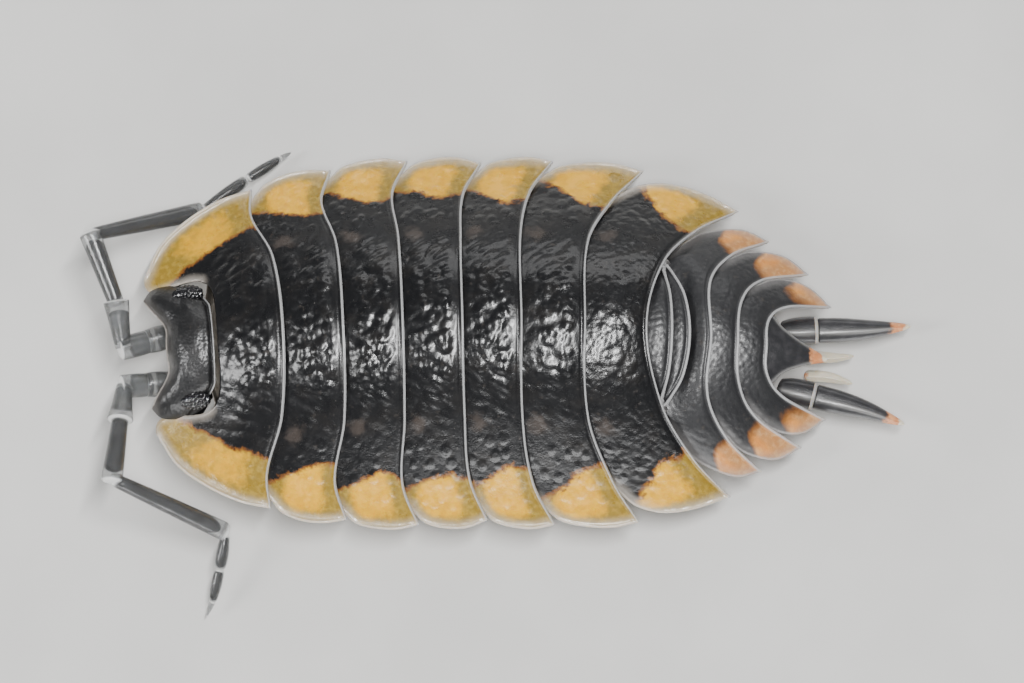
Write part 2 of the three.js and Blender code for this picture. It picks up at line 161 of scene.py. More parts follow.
def scatter(ix, iy, seed):
    """A fixed random number from 0 to 1 for each cell of a grid, stirred by large odd numbers."""
    mixed = (ix.astype(np.int64) * 374761393 + iy.astype(np.int64) * 668265263 + seed * 974711)
    mixed = (mixed ^ (mixed >> 13)) * 1274126177
    return ((mixed ^ (mixed >> 16)) & 0xFFFF) / 0xFFFF


def ripple(x, y, size, seed):
    """Soft random waves from -1 to 1, of about the given size."""
    px, py = x / size, y / size
    ix, iy = np.floor(px), np.floor(py)
    fx, fy = px - ix, py - iy
    fx, fy = fx * fx * (3 - 2 * fx), fy * fy * (3 - 2 * fy)
    corner = [[scatter(ix + a, iy + b, seed) for b in (0, 1)] for a in (0, 1)]
    near = corner[0][0] * (1 - fy) + corner[0][1] * fy
    far = corner[1][0] * (1 - fy) + corner[1][1] * fy
    return (near * (1 - fx) + far * fx) * 2 - 1


def bumps(x, y, size, seed, turn=0.55):
    """Soft rounded bumps from 0 to about 1, one to a cell of a turned grid, none in its middle."""
    px = (x * math.cos(turn) - y * math.sin(turn)) / size
    py = (x * math.sin(turn) + y * math.cos(turn)) / size
    ix, iy = np.floor(px), np.floor(py)
    height = np.zeros_like(px)
    for a in (-1, 0, 1):
        for b in (-1, 0, 1):
            cx, cy = ix + a, iy + b
            middle_x = cx + 0.5 + 0.9 * (scatter(cx, cy, seed) - 0.5)
            middle_y = cy + 0.5 + 0.9 * (scatter(cx, cy, seed + 1) - 0.5)
            radius = 0.34 + 0.26 * scatter(cx, cy, seed + 2)
            away = ((px - middle_x) ** 2 + (py - middle_y) ** 2) / radius ** 2
            height = np.maximum(height, radius / 0.5 * np.exp(-away ** 1.25))
    return height


FINE_BUMP_SIZE = 0.26
BROAD_BUMP_SIZE = 0.47
BUMP_HEIGHT = 0.056
FOLD_WIDTH = 0.25
FOLD_STRETCH = 2.2
FOLD_HEIGHT = 0.034
FOLD_SLANT = 0.62
GRAIN_SIZE = 0.36
GRAIN_HEIGHT = 0.04
HIND_GRAIN_SIZE = 0.15
BEAD_HEIGHT = 0.03
RIM_BEAD_HEIGHT = 0.024
GROOVE_DEPTH = 0.02


def plate_relief(x, y, to_rear, to_rim, to_front, seed, rough, grained):
    """Height of the relief on a plate: rounded bumps on the crest of the back, long slanting
    wrinkles on its flanks, a smooth band before the rear edge, and a thin raised bead round the
    free edges."""
    side = np.abs(y)
    to_side = np.minimum(to_rim, to_front)
    wander = 0.035 * ripple(x, y, 0.5, seed + 7)
    crest = 0.6 * bumps(x, y * 0.9, FINE_BUMP_SIZE, seed)
    crest = crest + 0.8 * bumps(x + wander, y * 0.8 + wander, BROAD_BUMP_SIZE, seed + 4, 1.1)
    crest = crest + 0.15 * ripple(x, y, 0.5, seed + 5)
    slant = np.where(y > 0, FOLD_SLANT, -FOLD_SLANT)
    run = x * np.cos(slant) + y * np.sin(slant)
    cross = y * np.cos(slant) - x * np.sin(slant)
    folds = bumps(run / FOLD_STRETCH + wander, cross + wander, FOLD_WIDTH, seed + 11, 0.0)
    on_crest = 1 - smooth(1.1, 2.2, side)
    on_flank = smooth(0.8, 1.6, side) * (1 - smooth(2.2, 3.4, side))
    field = smooth(0.2, 0.5, to_rear) * (1 - 0.6 * smooth(1.2, 1.8, to_rear))
    relief = rough * field * (BUMP_HEIGHT * crest * on_crest + FOLD_HEIGHT * folds * on_flank)
    grains = np.clip(bumps(x, y, GRAIN_SIZE, seed + 31, 0.9) - 0.6, 0, 0.4) * smooth(2.9, 3.6, side)
    relief = relief + GRAIN_HEIGHT * grains * smooth(0.2, 0.4, np.minimum(to_rear, to_side))
    relief = relief + grained * bumps(x, y, HIND_GRAIN_SIZE, seed + 41) * smooth(0.15, 0.3, to_rear)
    swell = 0.012 * ripple(x, y, 1.1, seed + 21) + 0.004 * ripple(x, y, 0.4, seed + 22)
    relief = relief + swell * smooth(0.08, 0.3, np.minimum(to_rear, to_rim))
    rear_bead = BEAD_HEIGHT * hill(to_rear, 0.035, 0.03)
    rim_bead = RIM_BEAD_HEIGHT * hill(to_side, 0.05, 0.04)
    return relief + np.maximum(rear_bead, rim_bead) - GROOVE_DEPTH * hill(to_rear, 0.13, 0.05)


def flat_sheet(name, rows, columns):
    """A flat sheet from 0 to 1 along and from -1 to 1 across, as a mesh and its two parameters."""
    bm = bmesh.new()
    bmesh.ops.create_grid(bm, x_segments=rows, y_segments=columns, size=1)
    mesh = bpy.data.meshes.new(name)
    bm.to_mesh(mesh)
    bm.free()
    flat = np.empty(len(mesh.vertices) * 3)
    mesh.vertices.foreach_get("co", flat)
    flat = flat.reshape(-1, 3)
    return mesh, (flat[:, 0] + 1) / 2, flat[:, 1]


def shape_sheet(mesh, surface, along, across, relief):
    """Lays a sheet onto a surface and lifts it off by the relief."""
    step, no_length = 0.002, 1e-30
    places = surface(along, across)
    ahead = surface(along + step, across) - places
    aside = surface(along, across + step) - places
    normals = np.cross(ahead, aside)
    normals /= np.linalg.norm(normals, axis=1, keepdims=True) + no_length
    if normals[:, 2].mean() < 0:
        normals = -normals
    mesh.vertices.foreach_set("co", (places + normals * relief[:, None] * MM).ravel())
    mesh.update()


def mark(mesh, **measures):
    """Keeps a measure for each vertex, for the materials to read."""
    for name, values in measures.items():
        layer = mesh.attributes.new(name, "FLOAT", "POINT")
        layer.data.foreach_set("value", np.asarray(values, np.float32))


def make_piece(name, mesh, material, slot, *nodes):
    """A finished mesh as a piece of the model, in place of the CAD nodes that it stands for."""
    mesh.name = name
    mesh.materials.append(material)
    mesh.polygons.foreach_set("use_smooth", [True] * len(mesh.polygons))
    piece = bpy.data.objects.new(name, mesh)
    bpy.context.scene.collection.objects.link(piece)
    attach(piece, "root")
    if nodes:
        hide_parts(*nodes)
    return piece


def thicken(piece, thickness):
    """Gives a sheet its thickness, inwards from the outer face."""
    shell = piece.modifiers.new("thickness", "SOLIDIFY")
    shell.thickness = thickness * MM
    shell.offset = -1


def linear(hex_colour):
    """An sRGB hex colour as a linear one."""
    channels = [int(hex_colour[i:i + 2], 16) / 255 for i in (1, 3, 5)]
    return [c / 12.92 if c <= 0.04045 else ((c + 0.055) / 1.055) ** 2.4 for c in channels] + [1.0]


def add_node(tree, kind, inputs, out=0, **settings):
    """Adds a shader node with its settings and links, and hands on one of its outputs."""
    made = tree.nodes.new(kind)
    for name, value in settings.items():
        setattr(made, name, value)
    for name, value in inputs.items():
        if isinstance(value, bpy.types.NodeSocket):
            tree.links.new(value, made.inputs[name])
        else:
            made.inputs[name].default_value = value
    return made.outputs[out] if made.outputs else made


def start_finish(name):
    """An empty material under a finish's name, and its nodes."""
    material = bpy.data.materials.new(name)
    material.use_nodes = True
    material.node_tree.nodes.clear()
    return material, material.node_tree


def cloudy(tree, size_mm, detail=3.0, level=None, swing=1.0, roughness=0.55, distortion=0.0):
    """Clouds of about a size, in millimetres, from 0 to 1, or a level that they swing up and down."""
    place = add_node(tree, "ShaderNodeTexCoord", {}, "Object")
    clouds = add_node(tree, "ShaderNodeTexNoise", {
        "Vector": place, "Scale": 1 / (size_mm * MM), "Detail": detail, "Roughness": roughness,
        "Distortion": distortion})
    if level is None:
        return clouds
    centred = add_node(tree, "ShaderNodeMath", {0: clouds, 1: 0.5}, operation="SUBTRACT")
    return add_node(tree, "ShaderNodeMath", {0: centred, 1: swing, 2: level}, operation="MULTIPLY_ADD")


def coat(tree, under, over, level, bare, full, strength=1.0):
    """One colour laid over another: none of it where the level is bare, all of it where it is full."""
    cover = add_node(tree, "ShaderNodeMapRange", {0: level, 1: bare, 2: full, 4: strength},
                     interpolation_type="SMOOTHSTEP")
    colours = [linear(colour) if isinstance(colour, str) else colour for colour in (under, over)]
    return add_node(tree, "ShaderNodeMix", {0: cover, 6: colours[0], 7: colours[1]}, 2, data_type="RGBA")


def finish(tree, pits, **shader):
    """Closes a material: its shader, on a skin with pits of each size, detail, strength and depth."""
    inputs = {name.replace("_", " "): value for name, value in shader.items()}
    for size_mm, detail, strength, depth in pits:
        pit = {"Height": cloudy(tree, size_mm, detail), "Strength": strength, "Distance": depth * MM}
        if "Normal" in inputs:
            pit["Normal"] = inputs["Normal"]
        inputs["Normal"] = add_node(tree, "ShaderNodeBump", pit)
    skin = add_node(tree, "ShaderNodeBsdfPrincipled", inputs)
    add_node(tree, "ShaderNodeOutputMaterial", {"Surface": skin})


DRY_PATCH = "#302c29"
MUSCLE_SCAR = "#4f4640"
PATCH_BORDER = "#7a4a1c"
EDGE_LINE = "#aeaeae"
WORN_SPECK = "#8f8b86"

# The skin's own pits are finer than this. They are drawn as coarse as they need to be to show.
PLATE_PITS = [(0.05, 3.0, 0.3, 0.015), (0.2, 2.0, 0.3, 0.03)]


def plate_chitin(name, yellow, olive, black, clear, ragged, gloss, line_width, painted_sheen):
    """Chitin, tanned hard in one sheet. It gives the eye a wet-looking black with dull scars where the
    muscles hold on, a ragged brown border, yellow knobs in an olive surround, and a pale rim that the light
    comes through, inside a wider band of painted sheen that greys the black towards the rim."""
    material, tree = start_finish(name)
    rear, rim, patch, knob, scar = [
        add_node(tree, "ShaderNodeAttribute", {}, "Fac", attribute_name=measure)
        for measure in ("rear", "rim", "patch", "knob", "scar")]
    dark = coat(tree, *black, cloudy(tree, 0.7), 0.45, 0.75)
    dark = coat(tree, dark, DRY_PATCH, cloudy(tree, 0.22, 4.0), 0.6, 0.75)
    dark = coat(tree, dark, MUSCLE_SCAR, cloudy(tree, 0.3, 4.0, scar, 1.6), 0.35, 1.0, 0.55)
    border = cloudy(tree, 0.4, 5.0, patch, ragged, 0.6, 0.5)
    border = cloudy(tree, 0.08, 2.0, border, ragged * 0.2)
    blob = cloudy(tree, 0.3, 4.0, knob, 0.7)
    yellows = coat(tree, yellow[0], yellow[1], cloudy(tree, 0.25, 4.0), 0.35, 0.7)
    olives = coat(tree, *olive, cloudy(tree, 0.15), 0.4, 0.7)
    colour = coat(tree, olives, yellows, blob, 0.1, 0.75)
    colour = coat(tree, colour, yellow[2], cloudy(tree, 0.3, 3.0, blob, 1.2), 0.8, 1.3)
    colour = coat(tree, PATCH_BORDER, colour, border, 0.02, 0.16)
    colour = coat(tree, dark, colour, border, -0.04, 0.05)
    # The first coat is painted sheen: a wide pale band that fades in towards the rim. The second is the
    # thin pale clear edge itself.
    for over, level, bare, full, strength in (
            (clear, cloudy(tree, 0.3, 3.0, rim, 0.12), 0.36, 0.02, painted_sheen),
            (clear, cloudy(tree, 0.1, 3.0, rim, 0.04), 0.09, 0.03, 0.8),
            (EDGE_LINE, rear, line_width + 0.015, line_width - 0.015, 0.85),
            (WORN_SPECK, cloudy(tree, 0.055, 1.0), 0.76, 0.82, cloudy(tree, 0.9))):
        colour = coat(tree, colour, over, level, bare, full, strength)
    worn = cloudy(tree, 0.4, 4.0)
    uneven_gloss = add_node(tree, "ShaderNodeMapRange", {0: worn, 3: gloss[0], 4: gloss[1]})
    through_light = add_node(tree, "ShaderNodeMapRange", {0: border, 1: 0.0, 2: 0.3, 4: 0.35},
                             interpolation_type="SMOOTHSTEP")
    finish(tree, PLATE_PITS, Base_Color=colour, Roughness=uneven_gloss, IOR=1.55,
           Subsurface_Weight=through_light, Subsurface_Radius=(0.3, 0.2, 0.1),
           Subsurface_Scale=0.3 * MM, Coat_Weight=0.3, Coat_Roughness=gloss[0] * 0.6)
    return material


# Tanned chitin polished by wear over the trunk: it gives the eye a wet black with sharp glints. Over the
# tail it is thinner and finely grained, so it gives a duller charcoal with orange in place of yellow.
ORANGES = ("#cd8438", "#da9443", "#e2a257")
DULL_ORANGES = ("#b8804a", "#c89a66")
black_chitin = plate_chitin(
    "black_and_yellow_chitin", yellow=("#dba20e", "#e9b222", "#efb63a"), olive=("#8f7426", "#a68a3a"),
    black=("#0c0c0e", "#191716"), clear="#cdc4b8", ragged=0.55, gloss=(0.2, 0.38), line_width=0.055,
    painted_sheen=0.5)
hind_chitin = plate_chitin(
    "black_and_orange_chitin", yellow=ORANGES, olive=DULL_ORANGES, black=("#1d1d1f", "#2a2a2b"),
    clear="#a9a6a4", ragged=0.16, gloss=(0.36, 0.55), line_width=0.072, painted_sheen=0.3)

PLATE_GRID = (66, 330)
PLEON_GRID = (40, 220)
REAR_CROWDING = 1.25
RIM_CROWDING = 1.15
EDGE_POINTS = 400
RIM_POINTS = 200
WING_POINTS = 300
NECK_SHARE = 0.52


def nearest(x, y, line_x, line_y):
    """How far each place is from a line, seen from above."""
    gap = np.full_like(x, FAR_AWAY)
    for x_point, y_point in zip(line_x, line_y):
        gap = np.minimum(gap, np.hypot(x - x_point, y - y_point))
    return gap


def make_plate(name, node, contour, shape, seed, grid, material):
    """One back plate, from its front edge, hidden under the plate before, to its rear edge. The
    contour gives the front edge's places for shares of the half width. The grid's rows and columns
    crowd towards the rear edge and the rim, where the relief is finest."""
    half = through(ALONG, shape["width"])
    rear = rear_edge(shape)
    notched = contour is wing_contour
    underlap = shape.get("underlap", UNDERLAP)

    def layout(along, across):
        share = along * (1 + underlap) - underlap
        x_start, y_start = contour(np.abs(across))
        x_end, y_end = rear(across * half(1)), np.abs(across) * half(1)
        bulge = half(share) - half(0) * (1 - share) - half(1) * share
        y = y_start * (1 - share) + y_end * share + bulge * np.abs(across)
        return share, x_start * (1 - share) + x_end * share, np.sign(across) * y

    def surface(along, across):
        share, x, y = layout(along, across)
        dip = shape.get("step", SHINGLE_STEP) * (1 - share) ** 2
        return bowed(x, y, back_height(x, y) - dip - shape.get("sunk", 0))

    mesh, along, across = flat_sheet(name, *grid)
    along = 1 - (1 - along) ** REAR_CROWDING
    across = np.sign(across) * (1 - (1 - np.abs(across)) ** RIM_CROWDING)
    share, x, y = layout(along, across)
    side = np.abs(y)
    edge = np.linspace(0, 1, EDGE_POINTS)
    to_rear = nearest(x, side, rear(edge * half(1)), edge * half(1))
    _, rim_x, rim_y = layout(np.linspace(0, 1, RIM_POINTS), np.ones(RIM_POINTS))
    to_rim = nearest(x, side, rim_x, rim_y)
    to_front = np.full_like(x, FAR_AWAY)
    if notched:
        to_front = nearest(x, side, *contour(np.linspace(NECK_SHARE, 1, WING_POINTS)))
        inner = through(WING_PATCH_AT, shape["patch"])(x)
    elif "patch" in shape:
        inner = through(PATCH_AT, shape["patch"])(share)
    else:
        inner = np.full_like(x, NO_PATCH)
    relief = plate_relief(x, y, to_rear, to_rim, to_front, seed, shape.get("rough", 1.0),
                          shape.get("grained", 0.003))
    shape_sheet(mesh, surface, along, across, relief)
    depth = np.maximum(half(share) - inner, 0.3)
    in_patch = hill(share, 0.5, 0.3, 4) * hill(side - inner, 0.38 * depth, 0.42 * depth, 4)
    mark(mesh, rear=to_rear, rim=np.minimum(to_rim, to_front + 0.05), patch=side - inner,
         knob=shape.get("knob", 1.0) * in_patch,
         scar=shape.get("scar", 0) * hill(share, 0.2, 0.2) * hill(side, 2.9, 0.3))
    thicken(make_piece(name, mesh, material, "shell", node), SHELL_THICKNESS)


# The first plate is notched for the head: its front edge runs along the neck, then forward beside
# the head, and round a blunt wing tip. The third plate of the tail tucks under the last of the trunk.
wing_steps = np.hypot(*np.diff(np.array(WING), axis=0).T)
wing_shares = np.concatenate([[0], np.cumsum(wing_steps)]) / wing_steps.sum()
wing_x = through(wing_shares, [x for _, x in WING])
wing_y = through(wing_shares, [y for y, _ in WING])


def wing_contour(across):
    return wing_x(across), wing_y(across)


def tucked_under(*plates_before, half):
    """The front edge of a plate: the hindmost rear edge of those that cover it."""
    edges = [rear_edge(plate) for plate in plates_before]
    return lambda across: (np.maximum.reduce([edge(across * half) for edge in edges]), across * half)


FIRST_SEED = 5
SEED_STEP = 31
seed = FIRST_SEED
for i, shape in enumerate(PEREONITES):
    contour = tucked_under(PEREONITES[i - 1], half=shape["width"][0]) if i else wing_contour
    make_plate(f"back_plate_{i + 1}", f"pereonite_{i + 1}", contour, shape, seed, PLATE_GRID, black_chitin)
    seed = seed + SEED_STEP
for i, shape in enumerate(PLEONITES):
    covers = [PLEONITES[i - 1] if i else PEREONITES[-1]] + [PEREONITES[-1]] * (i == 2)
    contour = tucked_under(*covers, half=shape["width"][0])
    make_plate(f"pleon_plate_{i + 1}", f"pleonite_{i + 1}", contour, shape | PLEON_SURFACE, seed,
               PLEON_GRID, hind_chitin)
    seed = seed + SEED_STEP

# The head is one hard box of grained black chitin: a crown, a thin front rim that runs out into a lobe
# at each side, a face that falls back under it, and a flat throat. It is grown in one piece and sits
# in the notch of the first plate, on a neck of soft skin.
HEAD_FRONT = -10.42
HEAD_LOBE = 0.62
HEAD_BROW = 2.05
HEAD_THROAT = 1.6
NECK_WIDTH = 1.62
CROWN_SHARE = 0.6
FACE_SHARE = 0.2
CROWN_LENGTH = 1.4
HEAD_GRID = (230, 190)
HEAD_GRAIN_SIZE = 0.09
HEAD_GRAIN_HEIGHT = 0.006
HEAD_WAVE_HEIGHT = 0.022
FACE_FALL = 0.42
NECK_GAP = 0.12
head_half = through(ALONG, [1.64, 1.92, 2.02, 1.98, 1.72])
head_crown = through(ALONG, [2.4, 2.85, 3.12, 3.22, 3.12])


def head_front(y):
    side = np.abs(y)
    return HEAD_FRONT - 0.05 * hill(side, 0, 0.5) - HEAD_LOBE * smooth(0.5, 1.75, side)


def head_rear(y):
    return HEAD_REAR - NECK_GAP - 0.1 * (y / NECK_WIDTH) ** 2 - 0.26 * smooth(1.15, 1.72, np.abs(y))


def head_surface(along, across):
    """The sheet runs from the neck over the crown, down the face and back along the throat."""
    face_end = CROWN_SHARE + FACE_SHARE
    on_crown = along < CROWN_SHARE
    throat_share = np.clip((along - face_end) / (1 - face_end), 0, 1)
    share = np.where(on_crown, 1 - along / CROWN_SHARE, throat_share)
    drop = np.clip((along - CROWN_SHARE) / FACE_SHARE, 0, 1)
    y = across * head_half(share)
    start = head_front(y) + (FACE_FALL + HEAD_LOBE * smooth(0.5, 1.75, np.abs(y))) * drop ** 0.6
    x = start * (1 - share) + head_rear(y) * share
    crown = HEAD_BROW + (head_crown(share) - HEAD_BROW) * (1 - across ** 2) ** 0.75
    throat = HEAD_THROAT + 0.3 * across ** 4
    face = np.where(along < face_end, crown + (throat - crown) * drop, throat)
    return bowed(x, y, np.where(on_crown, crown, face))


# Tanned chitin, close-grained and seldom rubbed: it gives the eye a soft black sheen.
head_chitin = plate_chitin(
    "grained_black_chitin", yellow=ORANGES, olive=DULL_ORANGES, black=("#141415", "#232222"),
    clear="#b4aca4", ragged=0.2, gloss=(0.32, 0.5), line_width=0.055, painted_sheen=0.12)
mesh, along, across = flat_sheet("head", *HEAD_GRID)
x, y, _ = head_surface(along, across).T / MM
share = 1 - along / CROWN_SHARE
to_front = np.maximum(share, 0) * CROWN_LENGTH
to_rear = (1 - np.clip(share, 0, 1)) * CROWN_LENGTH
grain = HEAD_GRAIN_HEIGHT * bumps(x, y, HEAD_GRAIN_SIZE, 77) * smooth(0.12, 0.25, to_front)
waves = ripple(x * 2.2, y + 0.3 * x, 0.5, 78) * smooth(0.1, 0.3, to_front)
grain = grain + HEAD_WAVE_HEIGHT * waves
neck_bead = 0.05 * hill(to_rear, 0.07, 0.04) - 0.02 * hill(to_rear, 0.2, 0.08)
bead = neck_bead + 0.035 * hill(to_front, 0, 0.05)
fall = 1 - smooth(0.9, 1, np.abs(across))
shape_sheet(mesh, head_surface, along, across, np.where(along < CROWN_SHARE, (grain + bead) * fall, 0))
front_rim = np.where(along < CROWN_SHARE, to_front, (along - CROWN_SHARE) * 3)
corner = smooth(0.82, 0.93, np.abs(across))
nowhere = np.zeros_like(along)
mark(mesh, rear=to_rear + 0.03 + 0.1 * corner, rim=front_rim + 0.05, patch=nowhere - FAR_AWAY,
     knob=nowhere, scar=nowhere)
make_piece("head_capsule", mesh, head_chitin, "shell", "head")

# Each eye is a low hill on the side of the head, of small round lenses in staggered rows. The lenses
# are the clear skin of the head itself, over black pigment.
EYE_PLACE = (-9.70, 1.6, 2.5)
EYE_RADII = (0.42, 0.25, 0.25)
LENSES = 4.0
LENS_RISE = 0.16
SIDES = {"left": -1, "right": 1}

# Clear chitin over black, smooth as glass: it gives the eye a sharp glint on every lens.
eye_chitin, tree = start_finish("black_lens_chitin")
finish(tree, [], Base_Color=coat(tree, "#08080a", "#17161a", cloudy(tree, 0.05), 0.4, 0.7),
       Roughness=0.12, IOR=1.6, Coat_Weight=0.6, Coat_Roughness=0.05)
for name, side in SIDES.items():
    bm = bmesh.new()
    bmesh.ops.create_uvsphere(bm, u_segments=120, v_segments=80, radius=1)
    mesh = bpy.data.meshes.new("eye")
    bm.to_mesh(mesh)
    bm.free()
    flat = np.empty(len(mesh.vertices) * 3)
    mesh.vertices.foreach_get("co", flat)
    ball = flat.reshape(-1, 3)
    column = np.floor(ball[:, 0] * LENSES)
    round_x = ball[:, 0] * LENSES - column - 0.5
    round_z = (ball[:, 2] * LENSES + 0.5 * column) % 1 - 0.5
    lens = np.sqrt(np.clip(0.23 - round_x ** 2 - round_z ** 2, 0, 1)) / 0.48
    ball = ball * (1 + LENS_RISE * lens[:, None])
    x, y, z = (ball * EYE_RADII + np.array(EYE_PLACE) * (1, side, 1)).T
    mesh.vertices.foreach_set("co", bowed(x, y, z).ravel())
    make_piece(f"eye_lenses_{name}", mesh, eye_chitin, "eye", f"eye_{name}")

# The antennae are chains of hollow articles of thin clear horn, each end sitting in the cup of the
# last: five articles of stem, the last two long, and a thin lash of three. Dark flesh runs inside.
ANTENNAE = dict(
    left=[[-10.38, -1.31, 1.6], [-10.95, -1.38, 1.75], [-11.7, -1.5, 2.05], [-11.78, -2.5, 2.35],
          [-11.98, -4.4, 2.6], [-8.72, -5.72, 1.25]],
    right=[[-10.38, 0.15, 1.6], [-10.95, -0.05, 1.75], [-11.75, -0.34, 2.0], [-11.95, 0.94, 2.3],
           [-12.75, 3.0, 2.5], [-9.55, 4.12, 0.95]])
STEM_RADII = [[0.34, 0.38, 0.36], [0.34, 0.36, 0.34], [0.24, 0.3, 0.4], [0.24, 0.28, 0.33],
              [0.2, 0.25, 0.29]]
BASE_ARTICLES = 3
FLESH_SHARE = 0.76
BASE_FLESH_SHARE = 0.72
BASE_FLESH_TINT = -0.485
FLESH_TINT = -1.0
BASE_MILKINESS = 0.37
MILKINESS = 0.25
STEM_FLATNESS = 0.92
LASHES = dict(
    left=[[-8.7, -5.8, 1.2], [-8.88, -6.78, 0.85], [-9.1, -7.7, 0.5], [-9.27, -8.08, 0.34]],
    right=[[-9.5, 4.16, 0.92], [-8.2, 5.2, 0.6], [-7.2, 5.9, 0.42], [-6.9, 6.1, 0.34]])
LASH_RADII = [[0.13, 0.17, 0.19, 0.16], [0.15, 0.16, 0.11], [0.09, 0.06, 0.02]]
LASH_FLESH_SHARE = 0.66
FULL_RIDGE = 0.02
STEM_GRID = (70, 40)
LASH_GRID = (40, 32)
FLESH_GRID = (24, 24)


def horn_tube(bm, path, radii, grid, up=(0, 0, 1), caps=(0.1, 0.1), relief=None, tint=None):
    """A closed tube along a smooth path, in millimetres of the frame, with a tint for each ring. Its
    radii are pairs, across and upright, its grid is its rings and the sides of each, and its caps are
    the shares of its length that round it off."""
    step = 0.003
    path = np.asarray(path, float)
    steps = np.linalg.norm(np.diff(path, axis=0), axis=1)
    shares = np.concatenate([[0], np.cumsum(steps)]) / steps.sum()
    course = [through(shares, path[:, k]) for k in range(3)]
    wide, high = [through(np.linspace(0, 1, len(radii)), r) for r in np.array(radii, float).T]
    tint_layer, ridge_layer = [bm.verts.layers.float.get(measure) or bm.verts.layers.float.new(measure)
                               for measure in ("tint", "ridge")]
    made = bmesh.ops.create_grid(bm, x_segments=grid[0], y_segments=grid[1], size=1)["verts"]
    flat = np.array([vertex.co[:] for vertex in made])
    share, angle = 0.5 - 0.5 * np.cos(np.pi * (flat[:, 0] + 1) / 2), flat[:, 1] * np.pi
    centre = np.stack([line(share) for line in course], axis=-1)
    ahead = np.stack([line(share + step) - line(share - step) for line in course], axis=-1)
    aside = np.cross(ahead, np.array(up, float))
    over = np.cross(aside, ahead)
    aside /= np.linalg.norm(aside, axis=1, keepdims=True)
    over /= np.linalg.norm(over, axis=1, keepdims=True)
    cap = np.sqrt(np.clip(1 - np.clip(1 - share / caps[0], 0, 1) ** 2, 0, 1))
    cap = cap * np.sqrt(np.clip(1 - np.clip(1 - (1 - share) / caps[1], 0, 1) ** 2, 0, 1))
    swell = relief(share, angle) if relief else 0 * share
    across_part = (cap * (wide(share) + swell) * np.cos(angle))[:, None] * aside
    up_part = (cap * (high(share) + swell) * np.sin(angle))[:, None] * over
    places = (centre + across_part + up_part) * MM
    tints = tint(share) if tint else share
    ridges = np.clip(swell / FULL_RIDGE, 0, 1)
    for vertex, place, tint_here, ridge_here in zip(made, places, tints, ridges):
        vertex.co = place
        vertex[tint_layer] = tint_here
        vertex[ridge_layer] = ridge_here


def close_tubes(name, bm):
    """Closes the seams and ends of the tubes and hands them over as one mesh."""
    bmesh.ops.remove_doubles(bm, verts=bm.verts, dist=1e-8)
    bmesh.ops.recalc_face_normals(bm, faces=bm.faces)
    mesh = bpy.data.meshes.new(name)
    bm.to_mesh(mesh)
    bm.free()
    return mesh


def in_frame(points):
    """Points given from the body's zero, outside its bow, as millimetres of the frame."""
    return np.asarray(points, float) + np.array([*ZERO, 0])


def joint_tint(share):
    """Whitish towards both joints of an article."""
    return 0.25 + 0.75 * hill(share, 0, 0.07) + 0.75 * hill(share, 1, 0.06)


def scales(share, angle):
    """Fine staggered ribs, like the scales on a limb's skin."""
    return 0.006 * np.cos(angle * 11 + 3 * np.floor(share * 40)) * np.sin(np.pi * share)


DARK_FLESH = "#1d1917"


def horn(name, clear, core, joint, glassy, mottle_size):
    """Thin chitin, shed and grown anew at each moult. It gives the eye a glassy or mottled wall,
    whitish at the joints, with dark flesh inside wherever the tint is below zero."""
    material, tree = start_finish(name)
    tint = add_node(tree, "ShaderNodeAttribute", {}, "Fac", attribute_name="tint")
    wall = coat(tree, clear, core, cloudy(tree, mottle_size, 4.0), 0.4, 0.65)
    ends = cloudy(tree, 0.1, 3.0, tint, 0.12)
    wall = coat(tree, wall, joint, ends, 0.5, 0.9)
    wall = coat(tree, DARK_FLESH, wall, tint, -0.6, -0.4)
    between_joints = add_node(tree, "ShaderNodeMapRange", {0: ends, 1: 0.5, 2: 0.9, 3: glassy, 4: 0.0},
                              interpolation_type="SMOOTHSTEP")
    through_light = add_node(tree, "ShaderNodeMapRange", {0: tint, 1: -0.6, 2: -0.4, 4: between_joints},
                             interpolation_type="SMOOTHSTEP")
    finish(tree, [(0.04, 2.0, 0.4, 0.012)], Base_Color=wall, Roughness=0.2, IOR=1.4,
           Transmission_Weight=through_light, Subsurface_Weight=0.3, Subsurface_Radius=(0.3, 0.28, 0.25),
           Subsurface_Scale=0.3 * MM, Coat_Weight=0.4, Coat_Roughness=0.15)
    return material


